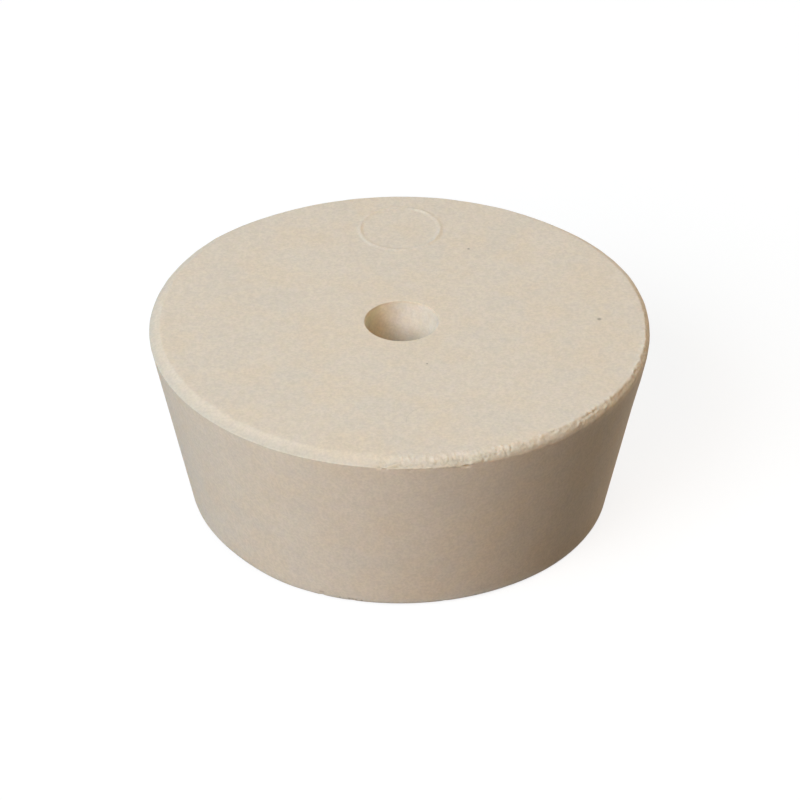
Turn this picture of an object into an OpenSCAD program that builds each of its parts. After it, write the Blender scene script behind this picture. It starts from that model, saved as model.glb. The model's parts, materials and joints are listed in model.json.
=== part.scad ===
// Laboratory stopper with one hole, moulded in one piece from cream-coloured rubber.
// It is size 12 of the standard series: 64 mm at the large end, 54 mm at the small end and
// 25 mm long. It stands on its small end, with the origin at that end's centre and +Z up.

/* [Body] */
// Diameter of the large end, at the crease under its rim
large_d = 64; // [58:0.5:72]
// Diameter of the small end, where the flank would meet the end face
small_d = 54; // [40:0.5:57]
// Length from one end face to the other
length = 25; // [18:0.5:40]

/* [Rim of the large end] */
// Width of the sloping band round the large end, along the radius
rim_w = 1.85; // [1:0.05:3]
// Height of the band, from the crease up to the end face
rim_drop = 0.63; // [0.4:0.01:1.2]
// Radius of the round between the band and the end face
rim_r = 1.5; // [0.2:0.1:2]

/* [Edge of the small end] */
// Radius of the round between the small end and the flank
foot_r = 0.6; // [0.2:0.05:2]

/* [Hole] */
// Diameter of the hole, which grips a tube of the same size
bore_d = 9.5; // [4:0.5:20]
// Radius of the round at each mouth of the hole
lip_r = 0.15; // [0.1:0.05:1]

/* [Raised ring] */
// Diameter of the ring, along the middle of its ridge
ring_d = 10.6; // [6:0.2:14]
// Width of the bead that makes the ridge
ring_bead = 0.6; // [0.4:0.05:1]
// Height of the ridge above the end face
ring_rise = 0.2; // [0.1:0.01:0.3]
// Flat left between the ridge and the rim's band
ring_gap = 2; // [0.5:0.25:4]

/* [Hidden] */
$fn = 180;
ARC_STEPS = 12;
CREAM = "#D7CCB8";

large_r = large_d / 2;
bore_r = bore_d / 2;

// Corners of half the section, each as [radius, height, round], counter-clockwise from the
// hole's lower mouth. The crease under the rim is left sharp.
corners = [
    [bore_r, 0, lip_r],
    [small_d / 2, 0, foot_r],
    [large_r, length - rim_drop, 0],
    [large_r - rim_w, length, rim_r],
    [bore_r, length, lip_r]];

// The ring lies just inside the band, to one side of the hole
ring_out = large_r - rim_w - ring_gap - (ring_d + ring_bead) / 2;

// Corner of the section by number, which starts again after the last
function corner(i) = let (c = corners[i % len(corners)]) [c.x, c.y];

// Unit vector from one point to another
function heading(from, to) = (to - from) / norm(to - from);

// Points of the round at a corner, tangent to the edges that come from before and go to after
function round_off(at, before, after, r) =
    let (come = heading(before, at), go = heading(at, after),
        side = [-come.y, come.x], turn = acos(come * go),
        centre = at - come * r * tan(turn / 2) + side * r)
    r == 0 ? [at] : [for (i = [0:ARC_STEPS]) let (a = turn * i / ARC_STEPS)
        centre + r * (sin(a) * come - cos(a) * side)];

// Half of the stopper's section
module section() {
    last = len(corners) - 1;
    polygon([for (i = [0:last])
        each round_off(corner(i), corner(i + last), corner(i + 1), corners[i].z)]);
}

// Plain ring left by the mould's insert, as a bead sunk part way into the end face
module mould_ring() { translate([0, ring_out, length + ring_rise - ring_bead / 2])
        rotate_extrude() translate([ring_d / 2, 0]) circle(d = ring_bead); }

module stopper() { color(CREAM) union() { rotate_extrude() section(); mould_ring(); } }

stopper();
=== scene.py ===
# %% [markdown]
# # A rubber stopper with one hole
#
# This is a laboratory stopper: one plug of cream-coloured rubber, a short cone with a hole
# through the middle for a glass tube. It was moulded in one go. Rubber was pressed into a steel
# mould, a pin made the hole, and the mould's two halves met at the rim of the large end. There
# a thin skin of rubber, the flash, was torn off by hand. It came away clean on half of the rim
# and left crumbs and pits on the other half.
#
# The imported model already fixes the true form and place. The script loads it first, so that
# everything made below lies in the same frame, in metres, with the small end on the floor.

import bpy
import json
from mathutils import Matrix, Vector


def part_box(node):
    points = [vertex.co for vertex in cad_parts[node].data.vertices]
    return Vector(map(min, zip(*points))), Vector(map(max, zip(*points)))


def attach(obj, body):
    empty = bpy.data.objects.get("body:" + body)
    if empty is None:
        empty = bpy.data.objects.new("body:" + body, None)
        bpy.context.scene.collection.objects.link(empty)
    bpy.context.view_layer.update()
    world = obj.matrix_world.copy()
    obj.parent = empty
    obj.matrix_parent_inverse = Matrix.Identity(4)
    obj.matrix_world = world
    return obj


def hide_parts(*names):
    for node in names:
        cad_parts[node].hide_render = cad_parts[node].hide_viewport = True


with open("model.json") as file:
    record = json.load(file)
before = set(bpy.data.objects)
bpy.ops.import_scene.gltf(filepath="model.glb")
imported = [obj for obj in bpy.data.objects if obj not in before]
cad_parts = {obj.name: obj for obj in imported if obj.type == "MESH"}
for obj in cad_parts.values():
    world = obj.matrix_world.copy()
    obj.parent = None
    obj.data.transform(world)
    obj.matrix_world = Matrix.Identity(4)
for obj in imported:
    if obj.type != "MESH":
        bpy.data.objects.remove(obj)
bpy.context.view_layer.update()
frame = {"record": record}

# %% [markdown]
# ## Sizes
#
# Sizes are in millimetres, as a mould maker would write them, and `MM` turns them into Blender's
# metres at the very end. What the frame knows is read from it: the outer box, and the hole,
# which the record keeps as a mount for a tube. The others are the maker's own drawing sizes.

# %% Read the frame's sizes and name the rest
import bmesh
import bpy
import json
import math
import numpy as np
import random
from mathutils import Vector, geometry, noise

MM = 0.001
mounts = {mount["name"]: mount for mount in frame["record"]["mounts"]}
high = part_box("stopper")[1]

RING_RISE = 0.2
LARGE_R = high.x / MM
LENGTH = high.z / MM - RING_RISE
SMALL_R = 27.0
BORE_R = mounts["tube_bore"]["dims"]["r_mm"]
LIP_R = (LENGTH - mounts["tube_bore"]["dims"]["length_mm"]) / 2
FOOT_R = 0.6
RIM_W = 1.85
RIM_DROP = 0.63
print(f"large end {2 * LARGE_R:.1f}, length {LENGTH:.1f}, hole {2 * BORE_R:.1f}, lip {LIP_R:.2f} mm")

# %% [markdown]
# ## Where the flash was torn
#
# The left of the rim left the mould clean: a smooth band, 1.85 mm wide, over a sharp crease. From
# the front round to the right the flash tore. There the band is less than half as wide, the
# crease under it is a soft round, and crumbs and pits sit along both. `ease` is a smooth step, and
# `zone` gives 1 inside a stretch of directions and 0 outside it, with soft ends. Directions are
# angles from the front, and grow to the right.

# %% The torn stretch of the rim
TEAR_FROM, TEAR_TO, TEAR_FADE = -12, 104, 12


def ease(value, start, stop):
    """A smooth step, from 0 at start to 1 at stop."""
    share = np.clip((value - start) / (stop - start), 0, 1)
    return share * share * (3 - 2 * share)


def zone(degrees, start, stop, fade):
    """1 inside a stretch of directions, 0 outside it, with soft ends."""
    return ease(degrees, start, start + fade) * ease(degrees, stop, stop - fade)


print(f"the tear is {math.radians(TEAR_TO - TEAR_FROM) * LARGE_R:.0f} mm of the rim")

# %% [markdown]
# ## Columns of points
#
# The mesh is a net: columns go round the stopper, rings go up it. Crumbs a quarter of a
# millimetre wide need points a tenth of a millimetre apart, but the plain side doesn't. So the
# columns stand close where the rim is torn and further apart elsewhere. Adding up the density of
# columns along the rim and then reading that sum backwards gives each column its direction.

# %% Space the columns round the rim
FINE_STEP, PLAIN_STEP = 0.1, 0.45
FINE_FROM, FINE_TO, FINE_FADE = -36, 112, 8
SWEEP_STEPS = 7200
sweep = np.linspace(-math.pi, math.pi, SWEEP_STEPS + 1)
fine = zone(np.degrees(sweep), FINE_FROM, FINE_TO, FINE_FADE)
density = LARGE_R / (PLAIN_STEP + (FINE_STEP - PLAIN_STEP) * fine)
count_so_far = np.concatenate([[0], np.cumsum(density[1:] * np.diff(sweep))])
COLUMNS = int(count_so_far[-1])
turn = np.interp(np.arange(COLUMNS) * count_so_far[-1] / COLUMNS, count_so_far, sweep)
degrees = np.degrees(turn)
torn = zone(degrees, TEAR_FROM, TEAR_TO, TEAR_FADE)
apart = np.diff(turn) * LARGE_R
print(f"{COLUMNS} columns, {apart.min():.2f} to {apart.max():.2f} mm apart")

# %% [markdown]
# ## The band of the rim
#
# The flash was trimmed by hand, so the sloping band isn't the same all the way round. `BAND` is
# the maker's sheet for it: at a few directions it gives the band's width, its drop below the end
# face, the round at its inner edge and the round of the crease under it. `np.interp` fills in
# between. `SAG` is a flap just right of the front, where the last of the flash dragged the lower
# edge down a third of a millimetre. `wander` adds what no sheet would hold, smooth noise with
# swings of a chosen size. It is read on a circle, so that it closes on itself behind the stopper.

# %% Width, drop and rounds of the band in each direction
BAND = {
    -180: (1.15, 0.76, 0.8, 0.15),
    -150: (1.15, 0.72, 0.8, 0.15),
    -130: (0.95, 0.40, 0.9, 0.15),
    -80: (1.40, 0.62, 1.0, 0.05),
    -50: (1.74, 0.63, 1.2, 0.02),
    -15: (1.86, 0.64, 1.4, 0.02),
    -4: (1.75, 0.66, 2.2, 0.08),
    2: (1.62, 0.75, 2.6, 0.12),
    8: (1.50, 0.74, 3.0, 0.20),
    16: (1.25, 0.68, 2.2, 0.40),
    24: (1.02, 0.76, 1.2, 0.85),
    31: (1.00, 0.73, 0.8, 1.05),
    38: (0.96, 0.69, 0.5, 1.30),
    46: (0.80, 0.62, 0.5, 1.30),
    53: (0.74, 0.62, 0.5, 1.25),
    60: (0.52, 0.62, 0.4, 1.10),
    68: (0.50, 0.56, 0.4, 1.00),
    75: (0.51, 0.50, 0.3, 0.90),
    82: (0.66, 0.50, 0.2, 0.85),
    88: (0.80, 0.53, 0.3, 1.00),
    95: (0.90, 0.56, 0.4, 0.85),
    112: (0.85, 0.50, 0.7, 0.30),
    140: (1.15, 0.76, 0.8, 0.15),
    180: (1.15, 0.76, 0.8, 0.15),
}
SAG, SAG_FROM, SAG_AT, SAG_UNTIL, SAG_TO = 0.34, 9, 14, 14.8, 16.8
WIDTH_WAVER, DROP_WAVER, TORN_WAVER, RAGGED = 0.03, 0.012, 0.03, 0.05


def wander(size, seed):
    """Smooth noise round the rim, about -1 to 1, with swings of a size in mm."""
    places = zip(LARGE_R * np.sin(turn) / size, -LARGE_R * np.cos(turn) / size)
    return 2 * np.array([noise.noise((x, y, seed)) for x, y in places])


band_w, band_drop, inner_soft, crease_soft = [
    np.interp(degrees, list(BAND), values) for values in zip(*BAND.values())]
band_w += (WIDTH_WAVER + TORN_WAVER * torn) * wander(3, 1.5) + RAGGED * torn * wander(0.6, 2.5)
band_drop += (DROP_WAVER + TORN_WAVER * torn) * wander(2, 3.5)
band_drop += SAG * ease(degrees, SAG_FROM, SAG_AT) * ease(degrees, SAG_TO, SAG_UNTIL)
print(f"the band is {band_w.min():.2f} to {band_w.max():.2f} mm wide and",
      f"drops {band_drop.min():.2f} to {band_drop.max():.2f} mm")

# %% [markdown]
# ## The section, ring by ring
#
# Blender's Screw modifier would turn one section round the axis, but here the section differs in
# every direction. So each point of the section is a whole row of radii and heights, one for each
# column. The section has four corners: the foot, the crease, the band's inner edge and, later,
# the mouth of the hole. `round_off` replaces a corner by a round that is tangent to both edges,
# and `line` puts points along a straight edge.

# %% Rounds and edges
SLOPE_R = (LARGE_R - SMALL_R) / (LENGTH - RIM_DROP)


def row(radius, height):
    """A row of points at a radius and a height, either of which may differ by column."""
    return np.array([np.broadcast_to(radius, COLUMNS), np.broadcast_to(height, COLUMNS)])


def heading(start, stop):
    """Unit vectors from one row to another."""
    step = stop - start
    return step / np.hypot(*step)


def round_off(before, corner, after, radius, steps):
    """Rows of points on the round at a corner, between the edges before and after it."""
    come, go = heading(before, corner), heading(corner, after)
    side = np.array([-come[1], come[0]])
    turning = np.arccos((come * go).sum(axis=0))
    centre = corner - come * radius * np.tan(turning / 2) + side * radius
    shares = np.linspace(0, 1, steps + 1)
    return [centre + radius * (np.sin(turning * s) * come - np.cos(turning * s) * side) for s in shares]


def line(start, stop, steps, power=1.0):
    """Rows of points on the edge after its start. A power over 1 sets the first ones closer."""
    return [start + (stop - start) * share for share in np.linspace(0, 1, steps + 1)[1:] ** power]


print(f"the flank leans {math.degrees(math.atan(SLOPE_R)):.1f} degrees")

# %% [markdown]
# ## Round the corners and join them up
#
# The foot's round is wider at the left, where the edge is rubbed, and tighter at the right. The
# section starts on a true circle in the small end and stops on one in the large end, so that the
# flat faces can be fitted to them later. Rings crowd where the form turns fast, at the crease and
# on the band, and spread out on the flank. `from_crease` and `inward` measure along the section,
# from the crease and from the band's inner edge, so that later cells can say where they work.

# %% Follow the section from the foot to the end face
STAND_R, APRON_R = 25.0, 28.8
RUBBED, LESS_RUBBED = 1.0, 0.3
BELOW = 1.6
ROUND_STEPS, CREASE_STEPS = 6, 14
FLANK_STEPS, UNDER_STEPS, BAND_STEPS, FACE_STEPS = 13, 6, 13, 9
CLOSER = 1.4
crease = row(SMALL_R + (LENGTH - band_drop) * SLOPE_R, LENGTH - band_drop)
inner = row(crease[0] - band_w, LENGTH)
foot_soft = FOOT_R + RUBBED * zone(degrees, -108, -30, 25) - LESS_RUBBED * zone(degrees, 25, 95, 25)
foot_round = round_off(row(0, 0), row(SMALL_R, 0), crease, foot_soft, ROUND_STEPS)
crease_round = round_off(row(SMALL_R, 0), crease, inner, crease_soft, CREASE_STEPS)
inner_round = round_off(crease, inner, row(0, LENGTH), inner_soft, ROUND_STEPS)
under_rim = crease - row(BELOW * SLOPE_R, BELOW)

section = [row(STAND_R, 0)] + foot_round
FOOT_RING = len(section) - 1 - ROUND_STEPS // 2
section += line(foot_round[-1], under_rim, FLANK_STEPS, CLOSER)
FLANK_RINGS = len(section)
section += line(under_rim, crease_round[0], UNDER_STEPS) + crease_round[1:]
CREASE_RING = len(section) - 1 - CREASE_STEPS // 2
section += line(crease_round[-1], inner_round[0], BAND_STEPS) + inner_round[1:]
INNER_RING = len(section) - 1 - ROUND_STEPS // 2
section += line(inner_round[-1], row(APRON_R, LENGTH), FACE_STEPS, CLOSER)

ring_r, ring_z = np.array(section).transpose(1, 0, 2)
step_lengths = np.hypot(np.diff(ring_r, axis=0), np.diff(ring_z, axis=0))
along = np.vstack([np.zeros(COLUMNS), np.cumsum(step_lengths, axis=0)])
from_crease = along - along[CREASE_RING]
inward = along - along[INNER_RING]
across_band = -inward[CREASE_RING]
print(f"{len(section)} rings, {across_band.min():.2f} to {across_band.max():.2f} mm",
      "from crease to inner edge")

# %% [markdown]
# ## Crumbs, pits and folds
#
# Torn rubber doesn't break like glass. It stretches, lets go and springs back, which leaves soft
# little lumps along the edge with pits beside them, all drawn out along the rim. Sculpting them
# by hand would work, but dabs placed by code can be changed later. `dab` raises or sinks one
# soft oval, and `scatter` draws many from a seeded random source, so that every run gives the
# same rim. Each line of scatter gives a count and then ranges: how far in from the band's inner
# edge, half the length, the width as a share of it, the height, and the stretch in degrees.

# %% Dab crumbs and pits onto the torn rim
around = LARGE_R * turn
lift = np.zeros_like(ring_r)
SEED = 12
DAB_REACH = 3
SKEW_MOST = 0.6
rng = random.Random(SEED)


def dab(place, across, long, wide, height, skew=0.0):
    """Raises a soft oval: place is along the rim, across is measured in from the band's inner edge."""
    near = np.abs(around - place) < DAB_REACH * long
    u = (around[near] - place) / long
    v = (inward[:, near] - across) / wide - skew * u
    lift[:, near] += height * np.exp(-u * u - v * v)


def scatter(count, across, long, wide, height, start=TEAR_FROM, stop=TEAR_TO):
    """Dabs ovals along the tear. A range gives the least and the most, and all fade with the tear."""
    for _ in range(count):
        place = rng.uniform(math.radians(start), math.radians(stop)) * LARGE_R
        size = rng.uniform(*long)
        share = float(np.interp(place, around, torn))
        dab(place, rng.uniform(*across), size, size * rng.uniform(*wide), share * rng.uniform(*height),
            rng.uniform(-SKEW_MOST, SKEW_MOST))


scatter(110, (-0.60, 0.25), (0.09, 0.19), (1.5, 2.8), (0.015, 0.045), 0, 26)
scatter(30, (-1.10, -0.20), (0.10, 0.20), (1.6, 3.0), (0.01, 0.03), -10, 6)
scatter(60, (-1.30, -0.40), (0.10, 0.24), (0.8, 1.6), (-0.06, -0.02), -8, 28)
scatter(120, (-0.80, 0.30), (0.12, 0.26), (0.6, 1.4), (0.02, 0.06), 20, 56)
scatter(70, (-0.80, 0.00), (0.12, 0.26), (0.6, 1.4), (-0.05, -0.02), 22, 60)
scatter(70, (-0.40, 0.35), (0.14, 0.28), (0.6, 1.2), (0.02, 0.05), 50, 84)
scatter(30, (-0.20, 0.20), (0.14, 0.30), (0.6, 1.2), (0.01, 0.04), 80, 104)
scatter(40, (-0.60, -0.10), (0.15, 0.40), (0.4, 0.8), (-0.06, -0.02), 36, 92)
scatter(150, (-1.40, -0.30), (0.15, 0.50), (0.3, 0.8), (-0.04, 0.04))
scatter(26, (-1.90, -1.30), (0.20, 0.60), (0.4, 0.7), (-0.10, 0.06), TEAR_FROM, 26)
print(f"dabs from {lift.min():.2f} to {lift.max():.2f} mm")

# %% [markdown]
# ## Larger marks
#
# Some marks are large enough to be known one by one: a groove with a lip beside it, two folds
# where the band was pinched, notches in the crease, and a few proud crumbs. Each row of `MARKS`
# gives a direction in degrees, the distance in from the band's inner edge, half the length, half
# the width, the height, and a skew that turns the oval off the line of the rim.

# %% Dab the larger marks
MARKS = [
    (48.5, -0.36, 2.2, 0.14, -0.09, 0.02),
    (48, -0.58, 2.4, 0.16, 0.06, 0.02),
    (60, -0.45, 0.7, 0.30, -0.06, 0.20),
    (37, -0.30, 0.8, 0.22, -0.08, 0.30),
    (22, -0.35, 0.9, 0.18, -0.07, -0.20),
    (78, -0.15, 0.4, 0.25, -0.10, 0.00),
    (79, 0.20, 0.5, 0.25, 0.14, 0.00),
    (74.5, 0.22, 0.35, 0.20, 0.13, 0.30),
    (68.5, 0.12, 0.40, 0.20, 0.11, -0.30),
    (43, 0.05, 0.4, 0.22, 0.10, 0.00),
    (44.5, -0.50, 0.3, 0.20, 0.08, 0.00),
    (63, 0.15, 0.5, 0.18, 0.08, 0.20),
    (71, 0.15, 0.6, 0.18, 0.13, -0.20),
    (-1.8, -1.35, 1.3, 0.14, 0.08, 3.20),
    (-1.8, -1.62, 1.3, 0.12, -0.09, 3.20),
    (1.8, -1.30, 0.9, 0.12, 0.06, 2.60),
    (1.8, -1.46, 0.9, 0.10, -0.06, 2.60),
    (-4.5, -1.80, 0.35, 0.20, -0.20, 0.00),
    (2.0, -2.10, 0.30, 0.22, -0.14, 0.00),
    (14.6, -1.72, 0.60, 0.12, -0.14, -0.40),
    (-7.0, -1.50, 0.80, 0.25, -0.04, 0.00),
]
for degree, across, long, wide, height, skew in MARKS:
    dab(math.radians(degree) * LARGE_R, across, long, wide, height, skew)
print(len(MARKS), "larger marks")

# %% [markdown]
# ## Grain, and the pull of the tear
#
# Between the crumbs the torn skin is rough, and even the clean band isn't glass-smooth. Noise read
# at each point's own place in space gives both without a seam. It is faded out below the crease,
# because the mould left the flank smooth. Tearing also pulls at the rubber below: there the flank
# stands out by a tenth of a millimetre, and the crease over it is rubbed down by half of that.

# %% Roughen the tear
GRAIN, ROUGH = 0.4, 0.035
GRAIN_FRACTAL = 0.7, 2.0, 2
LUMP, LUMP_RISE = 2.2, 0.02
BULGE, WORN_OFF = 0.11, 0.05
on_rim = ease(from_crease, -0.4, 0.05) * ease(inward, 0.8, 0.1)
grain = np.zeros_like(ring_r)
for ring in range(FLANK_RINGS, len(section)):
    for column in range(COLUMNS):
        place = Vector((ring_r[ring, column] * math.sin(turn[column]),
                        -ring_r[ring, column] * math.cos(turn[column]), ring_z[ring, column]))
        fine_part = torn[column] * ROUGH * noise.fractal(place / GRAIN, *GRAIN_FRACTAL)
        grain[ring, column] = fine_part + LUMP_RISE * noise.noise(place / LUMP)
lift += on_rim * grain
lift *= ease(from_crease, -0.7, -0.2)
lift += BULGE * zone(degrees, 55, 112, 20) * ease(from_crease, -9, -3) * ease(from_crease, -0.3, -2.2)
lift -= WORN_OFF * zone(degrees, 75, 96, 8) * ease(from_crease, -1.6, -0.2) * ease(inward, 0, -0.3)
print(f"grain from {grain.min():.3f} to {grain.max():.3f} mm")

# %% [markdown]
# ## Nicks in the foot
#
# The edge of the small end is the first to strike a bench or a glass neck. Three small nicks mark
# it at the front, less than a tenth of a millimetre deep. They are dabs too, given by direction,
# half length, half width and height, at the middle of the foot's round. With the last of them in
# place, every point moves along its own normal by what all the dabs and grain add up to.

# %% Nick the foot, and move all rings along their normals
NICKS = [(-21.3, 0.40, 0.22, -0.08), (-12.9, 0.50, 0.20, -0.06), (12.0, 0.30, 0.15, -0.06)]
for degree, long, wide, height in NICKS:
    column = np.abs(degrees - degree).argmin()
    dab(math.radians(degree) * LARGE_R, inward[FOOT_RING, column], long, wide, height)
rise_r, rise_z = np.gradient(ring_r, axis=0), np.gradient(ring_z, axis=0)
steep = np.hypot(rise_r, rise_z)
ring_r = ring_r + lift * rise_z / steep
ring_z = np.maximum(ring_z - lift * rise_r / steep, 0)
print(f"lift from {lift.min():.2f} to {lift.max():.2f} mm")

# %% [markdown]
# ## From rings to a mesh
#
# `points` and `faces` collect the whole stopper. `add_ring` adds one closed row of points and
# gives back their numbers, and `bridge` joins two rows with four-sided faces. Rings are always
# joined in the same order as a pen would follow the section, out along the foot, up the flank,
# in over the end face and down the hole, so every face looks outwards. `marks` holds five numbers
# for each point, all zero where `add_ring` is given none.

# %% Two helpers for the mesh
points = []
faces = []
marks = {"smooth_band": [], "torn_band": [], "brown_and_pit_shade": [], "crease_painted_light": [], "crumb_painted_highlight": []}


def add_ring(x, y, z, *shares):
    """Adds a row of points, with its marks, and returns their numbers."""
    start = len(points)
    points.extend(zip(*np.broadcast_arrays(x, y, z)))
    for values, share in zip(marks.values(), shares or [0.0] * len(marks)):
        values.extend(np.broadcast_to(share, len(points) - start))
    return list(range(start, len(points)))


def bridge(first, second):
    """Joins two closed rows of the same count with four-sided faces."""
    count = len(first)
    for i in range(count):
        after = (i + 1) % count
        faces.append((first[i], first[after], second[after], second[i]))


print("each point carries", ", ".join(marks))

# %% [markdown]
# ## How the rim was left
#
# The tint of the rim is worked out here, from the same stretches and dabs as the form. `smooth_band`
# is where the band was trimmed, `torn_band` where it tore. The third mark is where the broken skin
# has browned with age in patches, and also painted shade: in the pits, and round the far right of
# the rim where it turns from the light. The fourth is painted light along the crease under the torn
# rim, broken into streaks, and the fifth is a painted highlight on the tops of the crumbs.

# %% Give the rim its marks and add the outer rings
on_band = ease(from_crease, -0.35, -0.1) * ease(inward, 0.15, -0.15)
over_crease = ease(from_crease, -0.9, -0.1)
# Where the trimmed and the torn band lie: both are tinted darker than the face later, as painted shade on
# their slopes.
smooth_share = ease(inward, -0.2, -1.6) * zone(degrees, -125, 0, 25) * (1 - torn)
front = zone(degrees, -16, 14, 12)
torn_share = ease(inward + 0.5 * front, -0.1, -0.9) * torn * ease(degrees, 44, 22) * (1 - 0.3 * front)
# Brown in patches where the torn skin has aged; from 80 to 116 degrees it is also painted shade on the
# rim's far right.
brown_and_shade_share = np.maximum(0.4 * torn * zone(degrees, 24, 112, 26), 0.5 * zone(degrees, 80, 116, 14))
brown_and_shade_share = brown_and_shade_share * ease(inward, 0.0, -0.3)
# Pits are painted darker: painted shade in the hollows.
pits = 0.7 * ease(lift, -0.04, -0.16)
# The tops of the raised crumbs are painted paler: a painted highlight.
crumbs = 0.4 * ease(lift, 0.03, 0.10) * ease(inward, -0.9, -0.5)
streaks = np.clip(0.85 + 0.3 * wander(0.7, 5.5), 0.4, 1)
at_crease = ease(from_crease, -1.9, -0.6) * ease(from_crease, 0.6, -0.1)
# Painted light along the crease of the torn rim, from 36 to 84 degrees, broken into streaks.
crease_light_share = at_crease * zone(degrees, 36, 84, 24) * streaks
shares = [on_band * smooth_share, on_band * torn_share, over_crease * np.maximum(brown_and_shade_share, pits),
          crease_light_share * (1 - pits), crumbs]
outer = []
for ring in range(len(section)):
    x, y = ring_r[ring] * np.sin(turn), -ring_r[ring] * np.cos(turn)
    outer.append(add_ring(x, y, ring_z[ring], *[share[ring] for share in shares]))
for first, second in zip(outer, outer[1:]):
    bridge(first, second)
print(f"{len(points):,} points and {len(faces):,} faces outside")

# %% [markdown]
# ## The hole
#
# A steel pin in the mould made the hole, so it is straight and its mouths are crisp. A tube is
# pushed through it, wet, and the rubber grips. Warm rubber clings to the pin as it is drawn, which
# leaves the wall a little uneven, the upper mouth two tenths of a millimetre to one side and a
# bead as thin as a hair round part of it. The hole needs fewer columns than the rim. Its section
# starts on a true circle in the end face, `GUARD` outside the mouth, and ends on one like it.

# %% Add the hole from the upper mouth to the lower one
HOLE_COLUMNS = 192
WALL_RINGS = 26
GUARD, GUARD_RINGS, LIP_RINGS = 0.9, 9, 6
LEAN = 0.2
CRISP = 0.15 * LIP_R
WALL_UNEVEN, WALL_SWING, WALL_FRACTAL = 0.03, 1.8, (0.8, 2.2, 3)
WALL_SHIFT = Vector((40.7, 20.3, 0))
BEAD_RISE, BEAD_HALF, BEAD_R = 0.035, 0.22, BORE_R + LIP_R + 0.1
MOUTH_R = BORE_R + CRISP + GUARD
hole_turn = np.arange(HOLE_COLUMNS) * 2 * math.pi / HOLE_COLUMNS
hole_degrees = np.degrees(hole_turn)
lip_angles = np.linspace(0, math.pi / 2, LIP_RINGS)
mouth = [(MOUTH_R - step, 0) for step in np.linspace(0, GUARD, GUARD_RINGS + 1)[:-1]]
mouth += [(BORE_R + CRISP * (1 - math.sin(a)), CRISP * (1 - math.cos(a))) for a in lip_angles]
wall = [(BORE_R, depth) for depth in np.linspace(CRISP, LENGTH - CRISP, WALL_RINGS)[1:-1]]
hole_section = mouth + wall + [(r, LENGTH - depth) for r, depth in reversed(mouth)]
beaded = zone(hole_degrees, 200, 390, 60) + zone(hole_degrees, -160, 30, 60)

hole = []
for r, depth in hole_section:
    inside = ease(depth, LIP_R, 3 * LIP_R) * ease(LENGTH - depth, LIP_R, 3 * LIP_R)
    places = [Vector((BORE_R * math.sin(a), -BORE_R * math.cos(a), depth)) + WALL_SHIFT for a in hole_turn]
    uneven = np.array([noise.fractal(place / WALL_SWING, *WALL_FRACTAL) for place in places])
    wall_r = r + inside * WALL_UNEVEN * uneven
    upper = ease(depth, LENGTH, 0) * ease(r, MOUTH_R, MOUTH_R - 0.3)
    bead = BEAD_RISE * beaded * math.exp(-((r - BEAD_R) / BEAD_HALF) ** 2) * (depth < LIP_R)
    x, y = wall_r * np.sin(hole_turn) + LEAN * upper, -wall_r * np.cos(hole_turn)
    hole.append(add_ring(x, y, LENGTH - depth + bead))
for first, second in zip(hole, hole[1:]):
    bridge(first, second)
print(f"hole {2 * BORE_R:.1f} mm, {len(hole)} rings")

# %% [markdown]
# ## The end faces
#
# The end faces are nearly flat, but not quite: rubber shrinks as it cools, and the large face is
# left with very shallow swells. A fan of long triangles to the hole would shade badly, so `fill`
# lays an even net of points and lets Blender's constrained Delaunay routine join them to the
# rings. Every ring is a circle here, so a triangle is kept where its middle lies inside the
# outer circle and outside the others.

# %% A net of triangles between circles
HEX = math.sqrt(3) / 2
KEEP_OFF = 0.6
MERGE = 1e-6


def fill(outline, openings, spacing, height, up):
    """Fills between circles, each given as (point numbers, centre, radius), with even triangles."""
    circles = [outline, *openings]
    numbers = [number for circle in circles for number in circle[0]]
    edges = []
    first = 0
    for circle in circles:
        count = len(circle[0])
        edges += [(first + i, first + (i + 1) % count) for i in range(count)]
        first += count

    def clear(x, y, margin):
        """True where a place lies in the face, away from every circle."""
        gaps = [math.dist((x, y), centre) - radius for _, centre, radius in circles]
        return gaps[0] < -margin and all(gap > margin for gap in gaps[1:])

    centre, reach = outline[1], int(outline[2] / spacing / HEX) + 1
    net = [(centre[0] + (i + 0.5 * (j % 2)) * spacing, centre[1] + j * spacing * HEX)
           for j in range(-reach, reach + 1) for i in range(-reach, reach + 1)]
    net = [place for place in net if clear(*place, KEEP_OFF * spacing)]
    if net:
        x, y = np.array(net).T
        numbers += add_ring(x, y, height(x, y))
    flat = [Vector(points[number][:2]) for number in numbers]
    made, _, cells, origin, _, _ = geometry.delaunay_2d_cdt(flat, edges, [], 0, MERGE)
    for cell in cells:
        corners = [made[corner] for corner in cell]
        middle = sum(corners, Vector((0, 0))) / 3
        if clear(*middle, 0):
            turns_left = (corners[1] - corners[0]).cross(corners[2] - corners[0]) > 0
            cell = cell if turns_left == up else cell[::-1]
            faces.append(tuple(numbers[origin[corner][0]] for corner in cell))


print(f"rows of the net lie {HEX:.3f} of its spacing apart")

# %% Heights of the two end faces
SWELL_RISE, SWELL_SIZE = 0.03, 11
STILL_RIM, STILL_MOUTH = 5, 3


def foot_height(x, y):
    """The small end stands flat on the bench."""
    return 0 * x


def face_height(x, y):
    """Height of the large face, with shallow swells that die out at the rim and at the hole."""
    r = np.hypot(x, y)
    still = ease(r, APRON_R, APRON_R - STILL_RIM) * ease(r, MOUTH_R, MOUTH_R + STILL_MOUTH)
    places = zip(np.ravel(x) / SWELL_SIZE, np.ravel(y) / SWELL_SIZE)
    swell = [noise.noise((a, b, 4.2)) for a, b in places]
    return LENGTH + SWELL_RISE * still * np.reshape(swell, np.shape(x))


print(f"swells up to {SWELL_RISE} mm high on a face {2 * APRON_R:.0f} mm across")

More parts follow.
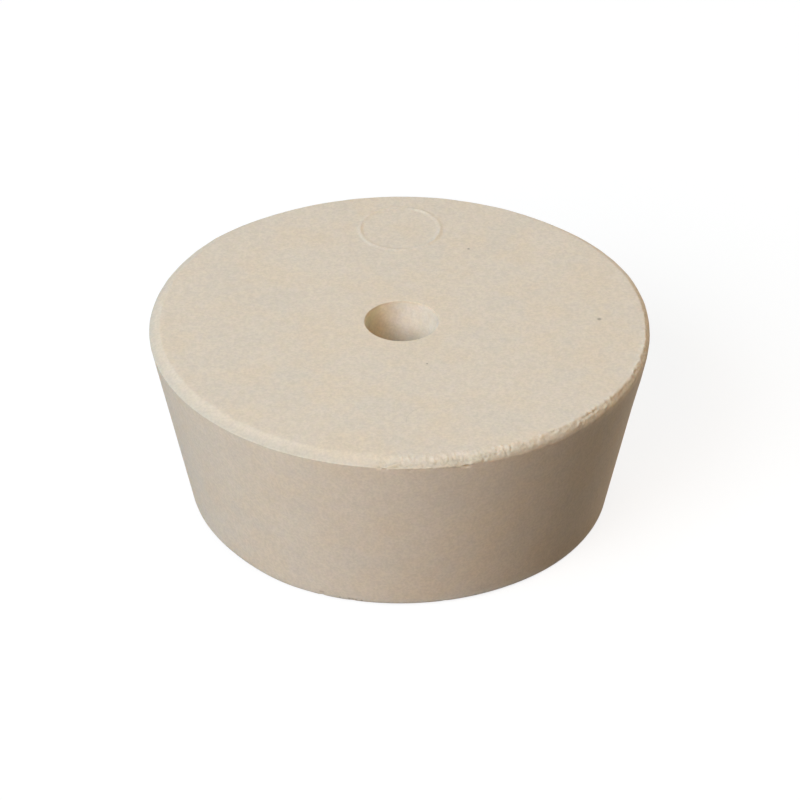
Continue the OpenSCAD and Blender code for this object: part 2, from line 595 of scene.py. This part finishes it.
# %% [markdown]
# ## The raised ring
#
# Moulds often take a small round insert, and its joint prints a faint raised ring on the end
# face. Here the ring lies behind the hole, close to the rim. It is a soft ridge half a millimetre
# wide and at most a fifth of a millimetre high, worn in places. Its rows of points go round its
# own centre, and `fill` fits the large face round it and a small round piece inside it.

# %% Add the ridge
RING_R = 5.3
RING_GAP = 2.0
RING_BEAD = 0.6
RING_COLUMNS, RIDGE_RINGS = 240, 19
RIDGE_HALF, RIDGE_SIDE = 0.30, 0.64
ring_y = LARGE_R - RIM_W - RING_GAP - RING_R - RING_BEAD / 2
ring_turn = np.arange(RING_COLUMNS) * 2 * math.pi / RING_COLUMNS
worn = np.array([noise.fractal((math.sin(a) * 2, math.cos(a) * 2, 0.3), 1, 2, 2) for a in ring_turn])
ridge_rise = RING_RISE * np.clip(0.62 + 0.5 * worn, 0.2, 0.95)
ridge = []
for offset in np.linspace(RIDGE_SIDE, -RIDGE_SIDE, RIDGE_RINGS):
    x = (RING_R + offset) * np.sin(ring_turn)
    y = ring_y - (RING_R + offset) * np.cos(ring_turn)
    rise = ridge_rise * math.exp(-(offset / RIDGE_HALF) ** 2)
    ridge.append(add_ring(x, y, face_height(x, y) + rise))
for first, second in zip(ridge, ridge[1:]):
    bridge(first, second)
print(f"ridge {ridge_rise.min():.2f} to {ridge_rise.max():.2f} mm high, {ring_y:.2f} mm behind the hole")

# %% Fill the large face and the small one
TOP_NET, RING_NET, FOOT_NET = 0.7, 0.6, 1.0
around_ridge = (ridge[0], (0, ring_y), RING_R + RIDGE_SIDE)
in_ridge = (ridge[-1], (0, ring_y), RING_R - RIDGE_SIDE)
upper_mouth = (hole[0], (0, 0), MOUTH_R)
lower_mouth = (hole[-1], (0, 0), MOUTH_R)
fill((outer[-1], (0, 0), APRON_R), [around_ridge, upper_mouth], TOP_NET, face_height, True)
fill(in_ridge, [], RING_NET, face_height, True)
fill((outer[0], (0, 0), STAND_R), [lower_mouth], FOOT_NET, foot_height, False)
print(f"{len(points):,} points, {len(faces):,} faces")

# %% [markdown]
# ## One piece
#
# The stopper is one moulding, so everything goes into one mesh. It is checked before use: a
# solid that can be printed or weighed has exactly two faces on every edge, and its volume should
# be that of the imported model, which bmesh adds up from the faces. The piece then replaces the
# plain solid and rides on the same body.

# %% Make the stopper's mesh
mesh = bpy.data.meshes.new("rubber_stopper")
mesh.from_pydata((np.array(points) * MM).tolist(), [], faces)
for name, values in marks.items():
    layer = mesh.attributes.new(name, "FLOAT", "POINT")
    layer.data.foreach_set("value", np.array(values, dtype=np.float32))
mesh.shade_smooth()
stopper = bpy.data.objects.new("rubber_stopper", mesh)
bpy.context.collection.objects.link(stopper)

check = bmesh.new()
check.from_mesh(mesh)
open_edges = sum(not edge.is_manifold for edge in check.edges)
triangles = sum(len(face.verts) - 2 for face in check.faces)
volume = check.calc_volume(signed=True) / MM ** 3
check.free()
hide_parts("stopper")
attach(stopper, "root")
print(f"{triangles:,} triangles, {open_edges} open edges, {volume:,.0f} cubic mm")

# %% [markdown]
# ## Cream rubber
#
# The material is natural rubber, whitened with chalk and zinc oxide and pressed in a steel mould.
# Chalk scatters light, so it is opaque and matte, with only a weak, wide sheen. Yet light does
# soak in by a millimetre before it turns back, red furthest of all. That softens small shadows and
# warms them, and it is what tells rubber from plaster. `linear` turns the maker's hex colours to
# the linear values that a shader wants. `add` adds a node, applies its settings and fills or links
# its sockets, which are given by name or by number from 0.

# %% Two helpers for materials
def linear(code):
    """An sRGB hex colour as linear RGBA."""
    parts = [int(code[i:i + 2], 16) / 255 for i in (1, 3, 5)]
    return tuple(c / 12.92 if c <= 0.04045 else ((c + 0.055) / 1.055) ** 2.4 for c in parts) + (1.0,)


def add(tree, kind, sockets=None, out=0, **settings):
    """Adds a node and gives back one of its outputs. Sockets take outputs, hex colours or numbers."""
    node = tree.nodes.new("ShaderNode" + kind)
    for name, value in settings.items():
        setattr(node, name, value)
    for name, value in (sockets or {}).items():
        if isinstance(value, bpy.types.NodeSocket):
            tree.links.new(value, node.inputs[name])
        else:
            node.inputs[name].default_value = linear(value) if isinstance(value, str) else value
    return node.outputs[out] if len(node.outputs) else None


CREAM = "#DCCEBC"
print("cream as linear light:", [round(c, 3) for c in linear(CREAM)])

# %% Start the rubber, and find where a point lies
rubber = bpy.data.materials.new("moulded_cream_rubber")
rubber.use_nodes = True
tree = rubber.node_tree
tree.nodes.clear()
place = add(tree, "TexCoord", out="Object")
axes = add(tree, "SeparateXYZ", {"Vector": place}).node.outputs
flat = add(tree, "VectorMath", {0: place, 1: (1, 1, 0)}, operation="MULTIPLY")
from_axis = add(tree, "VectorMath", {0: flat}, out="Value", operation="LENGTH")
print("the material knows each point's place, its height and its distance from the axis")

# %% [markdown]
# ## Patterns in the rubber
#
# Filled rubber is never quite even, and each unevenness has its own size. `PATTERNS` gives it in
# millimetres, with the noise's detail and a shift along X that keeps two patterns from being
# alike. Clouds come from the mixing of the fillers, mottle and speckle from their grains, patches
# and chips from the broken skin of the tear, and stipple and ripples from the mould. The real
# grain of speckle and stipple is nearer a tenth of a millimetre. It is drawn three times as
# coarse, because it would not show otherwise.

# %% Lay out the patterns
PATTERNS = {
    "yellow clouds": (7.0, 3, 0),
    "grey clouds": (5.6, 3, 70),
    "wall stains": (1.1, 3, 25),
    "age patches": (1.6, 2, 15),
    "pink mottle": (1.0, 2, 90),
    "mottle": (1.0, 3, 60),
    "speckle": (0.34, 2, 30),
    "chips": (0.42, 2, 45),
    "stipple": (0.34, 2, 10),
    "ripples": (1.6, 2, 50),
}
patterns = {}
for name, (size, detail, shift) in PATTERNS.items():
    moved = add(tree, "VectorMath", {0: place, 1: (shift * MM, 0, 0)}, operation="ADD")
    patterns[name] = add(tree, "TexNoise", {"Vector": moved, "Scale": 1 / (size * MM), "Detail": detail})
print(len(patterns), "patterns, finest", min(size for size, _, _ in PATTERNS.values()), "mm")

# %% [markdown]
# ## Clouds
#
# Each tint is a share of a colour, mixed over what is there already. Map Range makes the share: it
# takes a value, the two ends it comes from and the two it goes to, 0 and 1 if they aren't given.
# Mix takes that share in socket 0 and the two colours in sockets 6 and 7. Yellowish and greyish
# clouds drift over the whole stopper, only a few shades apart, so that the eye still reads one
# cream. Round the hole the rubber is a little yellower, where wet tubes have rubbed.

# %% Mix the clouds
SMOOTH = {"interpolation_type": "SMOOTHSTEP"}
MIXED = {"out": 2, "data_type": "RGBA"}
CREAM_YELLOW, CREAM_GREY = "#DDCDB8", "#D9CCBB"
ROUND_HOLE = 4
yellow = add(tree, "MapRange", {0: patterns["yellow clouds"], 1: 0.4, 2: 0.65}, **SMOOTH)
grey = add(tree, "MapRange", {0: patterns["grey clouds"], 1: 0.45, 2: 0.7}, **SMOOTH)
near_hole = add(tree, "MapRange", {0: from_axis, 1: (BORE_R + ROUND_HOLE) * MM, 2: BORE_R * MM, 4: 0.7},
                **SMOOTH)
colour = CREAM
for share, tint in ((yellow, CREAM_YELLOW), (grey, CREAM_GREY), (near_hole, CREAM_YELLOW)):
    colour = add(tree, "Mix", {0: share, 6: colour, 7: tint}, **MIXED)
print("clouds of", PATTERNS["yellow clouds"][0], "and", PATTERNS["grey clouds"][0], "mm")

# %% [markdown]
# ## The wall of the hole, and the foot
#
# The wall of the hole is less yellow than the end face. Its tones stand in for the light in the
# hole, as painted light and shade: in the middle it is painted lighter further down, on the lit
# right side it keeps one even tone, and on the shaded left side it is painted lighter and amber,
# more so further down. Faint stains show where tubes sat. The lowest edge of the small end is
# painted paler, more to the right than to the left, as painted light thrown up by the floor.

# %% Paint light and shade into the wall of the hole
WALL_CREAM, WALL_DEEP_PAINTED_LIGHT, SHADED_WALL_PAINTED_LIGHT, DEEP_SHADED_WALL_PAINTED_LIGHT = "#DBD3C6", "#EAE3D8", "#FFF3D4", "#FFE6BC"
LIT_SIDE_WALL_TONE, WALL_STAIN = "#DDD4C6", "#DFCCAE"
# Painted light and shade: the wall is lighter with depth, with a lit copy on the right and a lighter,
# amber copy on the shaded left.
DEEP = (LENGTH - 4) * MM
lighter_with_depth = add(tree, "MapRange", {0: axes["Z"], 1: (LENGTH - 0.3) * MM, 2: DEEP}, **SMOOTH)
amber_with_depth = add(tree, "MapRange", {0: axes["Z"], 1: (LENGTH - 0.8) * MM, 2: DEEP}, **SMOOTH)
lit_wall = add(tree, "Mix", {0: lighter_with_depth, 6: WALL_CREAM, 7: WALL_DEEP_PAINTED_LIGHT}, **MIXED)
shaded_side_painted_light = add(tree, "Mix", {0: amber_with_depth, 6: SHADED_WALL_PAINTED_LIGHT, 7: DEEP_SHADED_WALL_PAINTED_LIGHT}, **MIXED)
toward_shaded_side = add(tree, "MapRange", {0: axes["X"], 1: 0, 2: -0.9 * BORE_R * MM}, **SMOOTH)
toward_lit_side = add(tree, "MapRange", {0: axes["X"], 1: 0, 2: 0.6 * BORE_R * MM}, **SMOOTH)
stained = add(tree, "MapRange", {0: patterns["wall stains"], 1: 0.42, 2: 0.62, 4: 0.15}, **SMOOTH)
wall_colour = lit_wall
for share, tint in ((toward_shaded_side, shaded_side_painted_light), (toward_lit_side, LIT_SIDE_WALL_TONE), (stained, WALL_STAIN)):
    wall_colour = add(tree, "Mix", {0: share, 6: wall_colour, 7: tint}, **MIXED)
within = add(tree, "MapRange", {0: from_axis, 1: (BORE_R + 0.6) * MM, 2: (BORE_R + 0.3) * MM}, **SMOOTH)
below_face = add(tree, "MapRange", {0: axes["Z"], 1: LENGTH * MM, 2: (LENGTH - 0.5) * MM}, **SMOOTH)
on_wall = add(tree, "Math", {0: within, 1: below_face}, operation="MULTIPLY")
colour = add(tree, "Mix", {0: on_wall, 6: colour, 7: wall_colour}, **MIXED)
print("the wall turns amber", LENGTH - DEEP / MM, "mm down")

# %% Paint floor light onto the foot
# The lowest part of the foot is painted paler, more to the right: painted light that stands in for light
# from the floor.
FOOT_PAINTED_LIGHT = "#F4F0E8"
FOOT_HIGH, FOOT_LOW = 1.4, 0.2
low_down = add(tree, "MapRange", {0: axes["Z"], 1: FOOT_HIGH * MM, 2: FOOT_LOW * MM}, **SMOOTH)
rightward = add(tree, "MapRange", {0: axes["X"], 1: -15 * MM, 2: 20 * MM, 4: 0.55}, **SMOOTH)
foot_light_share = add(tree, "Math", {0: low_down, 1: rightward}, operation="MULTIPLY")
colour = add(tree, "Mix", {0: foot_light_share, 6: colour, 7: FOOT_PAINTED_LIGHT}, **MIXED)
print("the lowest", FOOT_HIGH, "mm is rubbed")

# %% [markdown]
# ## The rim
#
# Here the marks that the mesh carries are read back, one Attribute node for each. The trimmed band
# is painted a shade greyer than the face, and the torn one duller still: painted shade on their
# slopes and on the rough torn skin. Age has browned the torn skin in patches, and the same brown
# darkens the pits and the far right of the rim as painted shade. The crease of the tear and the tops
# of crumbs are the palest of all: painted light on the crease and a painted highlight on the
# crumbs, which make the tear sparkle a little.

# %% Tint the rim by its marks, with painted shade and painted light
# Band and torn tints are painted shade; the brown is age and painted shade; the pale tints are painted
# light and highlight.
BAND_PAINTED_SHADE, TORN_PAINTED_SHADE, TORN_BROWN_AND_SHADE = "#D0C5B5", "#CABDA9", "#B9A27E"
CREASE_PAINTED_LIGHT_TINT, CRUMB_PAINTED_HIGHLIGHT_TINT = "#FDF0D9", "#E4D8C6"
marked = {name: add(tree, "Attribute", out="Fac", attribute_name=name) for name in marks}
patches = add(tree, "MapRange", {0: patterns["age patches"], 1: 0.35, 2: 0.62, 3: 0.6}, **SMOOTH)
aged_and_shaded = add(tree, "Math", {0: marked["brown_and_pit_shade"], 1: patches}, operation="MULTIPLY")
layers = [(marked["smooth_band"], BAND_PAINTED_SHADE), (marked["torn_band"], TORN_PAINTED_SHADE), (aged_and_shaded, TORN_BROWN_AND_SHADE),
          (marked["crease_painted_light"], CREASE_PAINTED_LIGHT_TINT), (marked["crumb_painted_highlight"], CRUMB_PAINTED_HIGHLIGHT_TINT)]
for share, tint in layers:
    colour = add(tree, "Mix", {0: share, 6: colour, 7: tint}, **MIXED)
print(len(layers), "tints on the rim")

# %% [markdown]
# ## Specks, dirt with painted shade, and a scratch
#
# Use has left three dark specks on the end face. The nicks of the foot and the edge beside them are
# darkened too, partly by dirt and partly as painted shade in the nicks. A speck is a place and a
# radius, and Distance finds how far a point is from it. The spots at the foot give a direction, a
# height and a radius instead. The scratch, fine as a hair, is part of a circle: the points whose
# distance from its centre is nearly its radius, near one side of it.

# %% Place the specks, and the dirt and painted shade in the nicks
SPECK_AND_SHADE_BROWN = "#6F6353"
SPECKS = [(9.0, 17.5, 0.26), (25.45, 0.45, 0.38), (3.4, -9.9, 0.20)]
# Dark spots at the foot's nicks: dirt, and painted shade in the nicks.
NICK_DIRT_AND_SHADE = [(-21.6, 0.85, 0.34), (-20.9, 0.85, 0.34), (-16.2, 0.44, 0.26), (-13.6, 0.46, 0.32),
        (-12.7, 0.46, 0.32), (-11.8, 0.44, 0.28), (-10.2, 0.44, 0.24)]
SPECK_SHARE, NICK_DIRT_AND_SHADE_SHARE, SPECK_CORE = 0.6, 0.42, 0.3
spots = [(x, y, LENGTH, size, SPECK_SHARE) for x, y, size in SPECKS]
for degree, height, size in NICK_DIRT_AND_SHADE:
    angle = math.radians(degree)
    spots.append((SMALL_R * math.sin(angle), -SMALL_R * math.cos(angle), height, size, NICK_DIRT_AND_SHADE_SHARE))
for x, y, z, size, share in spots:
    spot = (x * MM, y * MM, z * MM)
    away = add(tree, "VectorMath", {0: place, 1: spot}, out="Value", operation="DISTANCE")
    on_spot = add(tree, "MapRange", {0: away, 1: size * MM, 2: SPECK_CORE * size * MM, 4: share}, **SMOOTH)
    colour = add(tree, "Mix", {0: on_spot, 6: colour, 7: SPECK_AND_SHADE_BROWN}, **MIXED)
print(len(SPECKS), "specks and", len(NICK_DIRT_AND_SHADE), "spots of dirt")

# %% Draw the scratch
SCRATCH_X, SCRATCH_Y, SCRATCH_R = 4.1, -22.8, 3.35
SCRATCH_HALF, SCRATCH_CORE, SCRATCH_SHARE = 0.1, 0.03, 0.12
centre = (SCRATCH_X * MM, SCRATCH_Y * MM, 0)
away = add(tree, "VectorMath", {0: flat, 1: centre}, out="Value", operation="DISTANCE")
off = add(tree, "Math", {0: away, 1: SCRATCH_R * MM}, operation="SUBTRACT")
off = add(tree, "Math", {0: off}, operation="ABSOLUTE")
on_circle = add(tree, "MapRange", {0: off, 1: SCRATCH_HALF * MM, 2: SCRATCH_CORE * MM, 4: SCRATCH_SHARE},
                **SMOOTH)
left_part = add(tree, "MapRange", {0: axes["X"], 1: 3.6 * MM, 2: 2.8 * MM}, **SMOOTH)
back_part = add(tree, "MapRange", {0: axes["Y"], 1: -23.6 * MM, 2: -22.9 * MM}, **SMOOTH)
on_top = add(tree, "MapRange", {0: axes["Z"], 1: 10 * MM, 2: 20 * MM}, **SMOOTH)
scratch = left_part
for part in (back_part, on_circle, on_top):
    scratch = add(tree, "Math", {0: scratch, 1: part}, operation="MULTIPLY")
colour = add(tree, "Mix", {0: scratch, 6: colour, 7: SPECK_AND_SHADE_BROWN}, **MIXED)
print("the scratch is", SCRATCH_HALF, "mm to each side of its line")

# %% [markdown]
# ## Grain
#
# The grain of the filler lies over every tint, so it comes last and multiplies what is there: a
# mottle of a millimetre, faintly pink and faintly yellow by turns, and a finer speckle. Together
# they move the brightness by a few parts in a hundred, enough to show that this isn't plastic. The
# torn rubber has a third, coarser grain, chips, because its broken skin bares the filler.

# %% Lay the grain over everything
PINKISH, YELLOWISH = "#FFFEFF", "#FFFFFD"
CHIPPED_BROWN = 2.5
pink = add(tree, "MapRange", {0: patterns["pink mottle"], 1: 0.35, 2: 0.65}, **SMOOTH)
pink = add(tree, "Mix", {0: pink, 6: PINKISH, 7: YELLOWISH}, **MIXED)
mottle = add(tree, "MapRange", {0: patterns["mottle"], 1: 0.3, 2: 0.7, 3: 0.978, 4: 1.022}, **SMOOTH)
speckle = add(tree, "MapRange", {0: patterns["speckle"], 1: 0.3, 2: 0.7, 3: 0.945, 4: 1.045}, **SMOOTH)
chips = add(tree, "MapRange", {0: patterns["chips"], 1: 0.35, 2: 0.65, 3: -0.07, 4: 0.06}, **SMOOTH)
broken = add(tree, "Math", {0: marked["brown_and_pit_shade"], 1: CHIPPED_BROWN, 2: marked["torn_band"]},
             operation="MULTIPLY_ADD", use_clamp=True)
chipped = add(tree, "Math", {0: broken, 1: chips, 2: 1.0}, operation="MULTIPLY_ADD")
shade = add(tree, "Math", {0: mottle, 1: speckle}, operation="MULTIPLY")
shade = add(tree, "Math", {0: shade, 1: chipped}, operation="MULTIPLY")
tinted = add(tree, "VectorMath", {0: colour, 1: pink}, operation="MULTIPLY")
grained = add(tree, "VectorMath", {0: tinted, "Scale": shade}, operation="SCALE")
print("mottle", PATTERNS["mottle"][0], "mm, speckle", PATTERNS["speckle"][0], "mm")

# %% [markdown]
# ## Stipple and ripples
#
# The mould was blasted with sand, and its grain is printed on the rubber. It is far too shallow to
# model, a hundredth of a millimetre, so it is bump. It breaks up the sheen, and that is why the
# stopper looks dry. Gentler ripples come on top, stronger on the wall of the hole, where the drawn
# pin dragged at warm rubber.

# %% Bump the surface
STIPPLE_DEPTH = 0.009
RIPPLE_DEPTH, WALL_RIPPLE = 0.015, 5
stipple = add(tree, "Bump", {"Height": patterns["stipple"], "Distance": STIPPLE_DEPTH * MM})
ripples = add(tree, "Math", {0: patterns["ripples"], 1: 0.5}, operation="SUBTRACT")
stronger = add(tree, "MapRange", {0: on_wall, 1: 0, 2: 1, 3: 1, 4: WALL_RIPPLE}, **SMOOTH)
ripples = add(tree, "Math", {0: ripples, 1: stronger}, operation="MULTIPLY")
bump = add(tree, "Bump", {"Height": ripples, "Distance": RIPPLE_DEPTH * MM, "Normal": stipple})
print(f"stipple {STIPPLE_DEPTH} mm deep, ripples {RIPPLE_DEPTH} mm")

# %% [markdown]
# ## Gloss and depth
#
# The shader's own values come last. Natural rubber bends light by about 1.52 and is no metal, and
# the skin from a blasted mould has a roughness between 0.8 and 0.9. `SOAK` is the share of the
# light that goes in and comes out again near by, and `SOAK_RADIUS` says how far away, in
# millimetres, for red, green and blue. They were chosen by how soft the small shadows look.

# %% Finish the rubber
RUBBER_IOR, MATTE = 1.52, 0.85
SOAK, SOAK_RADIUS = 0.4, (1.5, 1.1, 0.8)
surface = add(tree, "BsdfPrincipled", {
    "Base Color": grained, "Normal": bump, "Roughness": MATTE, "IOR": RUBBER_IOR,
    "Subsurface Weight": SOAK, "Subsurface Radius": SOAK_RADIUS, "Subsurface Scale": MM})
add(tree, "OutputMaterial", {"Surface": surface})
stopper.data.materials.append(rubber)
print(f"rubber: IOR {RUBBER_IOR}, roughness {MATTE}, {len(tree.nodes)} nodes")

# %% [markdown]
# ## Floor and background
#
# A pale sheet lies under the stopper. Rays from the camera see it as white paper with the
# stopper's soft shadow on it. For all other rays it is a plain grey card, so that it doesn't
# throw white light up at the flank. Light Path tells the two apart. The world is the same white
# to the camera, and almost dark otherwise, because the lamps do the lighting.

# %% Tell the rays apart
def seen_rays(tree):
    """1 for rays that show the background: from the camera, off a gloss, or through glass."""
    rays = add(tree, "LightPath").node.outputs
    either = add(tree, "Math", {0: rays["Is Camera Ray"], 1: rays["Is Glossy Ray"]}, operation="MAXIMUM")
    return add(tree, "Math", {0: either, 1: rays["Is Transmission Ray"]}, operation="MAXIMUM")


print("camera, glossy and transmission rays see the background")

# %% Lay the sheet
SHEET, SHEET_GAP = 3.0, 0.0002
CARD = "#7A7874"
PAPER, WHITE, PAPER_GLOW = "#7C7C7C", "#FFFFFF", 0.84
paper = bpy.data.materials.new("white_paper")
paper.use_nodes = True
tree = paper.node_tree
tree.nodes.clear()
card = add(tree, "BsdfDiffuse", {"Color": CARD})
sheet = add(tree, "BsdfDiffuse", {"Color": PAPER})
glow = add(tree, "Emission", {"Color": WHITE, "Strength": PAPER_GLOW})
white = add(tree, "AddShader", {0: sheet, 1: glow})
both = add(tree, "MixShader", {0: seen_rays(tree), 1: card, 2: white})
add(tree, "OutputMaterial", {"Surface": both})

bpy.ops.mesh.primitive_plane_add(size=SHEET, location=(0, 0, -SHEET_GAP))
floor = bpy.context.object
floor.name = "floor"
floor.data.materials.append(paper)
print(f"the sheet is {SHEET} m wide")

# %% Light the world
DIM, DIM_GLOW = "#FFB36C", 0.05
world = bpy.data.worlds.new("studio")
bpy.context.scene.world = world
world.use_nodes = True
tree = world.node_tree
tree.nodes.clear()
dim = add(tree, "Background", {"Color": DIM, "Strength": DIM_GLOW})
bright = add(tree, "Background", {"Color": WHITE, "Strength": 1.0})
sky = add(tree, "MixShader", {0: seen_rays(tree), 1: dim, 2: bright})
add(tree, "OutputWorld", {"Surface": sky})
print("the world is white to the camera")

# %% [markdown]
# ## Lamps
#
# Soft daylight from a wide window at the front left lights the end face and the left of the
# flank, and leaves the right front in shade. The window is two lamps side by side, a cool one for
# the sky and a warm one for the room, so the flank turns from grey to warm as it turns away. The
# ceiling fills the end face, a weak lamp high on the right and the grey card open the shade, and
# two low ones behind the stopper light the far rim and the wall of the hole. `soft_lamp` places a
# round area lamp by direction and height, aims it at the stopper, and works out its power from
# how bright it should make a facing surface.

# %% Two helpers for lamps
LAMP_AWAY = 1.3
AIM = Vector((0, 0, LENGTH / 2 * MM))


def direction(azimuth, elevation):
    """A unit vector: azimuth is from the front and grows to the right, both in degrees."""
    azimuth, elevation = math.radians(azimuth), math.radians(elevation)
    return Vector((math.sin(azimuth) * math.cos(elevation), -math.cos(azimuth) * math.cos(elevation),
                   math.sin(elevation)))


def soft_lamp(name, azimuth, elevation, width, light):
    """A round lamp. Light is the RGB at which it shows a white surface that faces it."""
    lamp = bpy.data.lights.new(name, "AREA")
    lamp.shape = "DISK"
    lamp.size = width
    lamp.energy = max(light) * math.pi ** 2 * (LAMP_AWAY ** 2 + (width / 2) ** 2)
    lamp.color = [part / max(light) for part in light]
    lamp_object = bpy.data.objects.new(name, lamp)
    bpy.context.collection.objects.link(lamp_object)
    lamp_object.location = AIM + LAMP_AWAY * direction(azimuth, elevation)
    lamp_object.rotation_euler = direction(azimuth, elevation).to_track_quat("Z", "Y").to_euler()


print(f"lamps stand {LAMP_AWAY} m away")

# %% Place the lamps
LAMPS = {
    "window_right": (-30, 36, 0.9, (0.68, 0.49, 0.345)),
    "window_left": (-46, 36, 0.9, (0.262, 0.48, 0.66)),
    "ceiling": (0, 88, 1.6, (0.108, 0.177, 0.219)),
    "high_right": (82, 56, 0.8, (0.075, 0.05, 0.015)),
    "back_right": (135, 12, 0.5, (0.32, 0.245, 0.175)),
    "behind": (-172, 20, 0.7, (0.12, 0.12, 0.12)),
}
for name, place_and_light in LAMPS.items():
    soft_lamp(name, *place_and_light)
print(len(LAMPS), "lamps")

# %% [markdown]
# ## Camera
#
# The camera stands half a metre in front of the stopper and 34 degrees above it, with a long
# lens, so that the two ends keep nearly the same width.

# %% Place the camera
CAMERA_PLACE = Vector((0, -0.4353, 0.3046))
CAMERA_AIM = Vector((0, 0, 0.01285))
LENS, SENSOR, CLIP_START = 182.34, 36, 0.01
view = CAMERA_AIM - CAMERA_PLACE
camera_data = bpy.data.cameras.new("camera")
camera_data.lens = LENS
camera_data.sensor_width = SENSOR
camera_data.clip_start = CLIP_START
camera = bpy.data.objects.new("camera", camera_data)
bpy.context.collection.objects.link(camera)
camera.location = CAMERA_PLACE
camera.rotation_euler = view.to_track_quat("-Z", "Y").to_euler()
bpy.context.scene.camera = camera
bpy.context.scene.view_settings.view_transform = "Standard"
print("camera", round(view.length, 3), "m away")
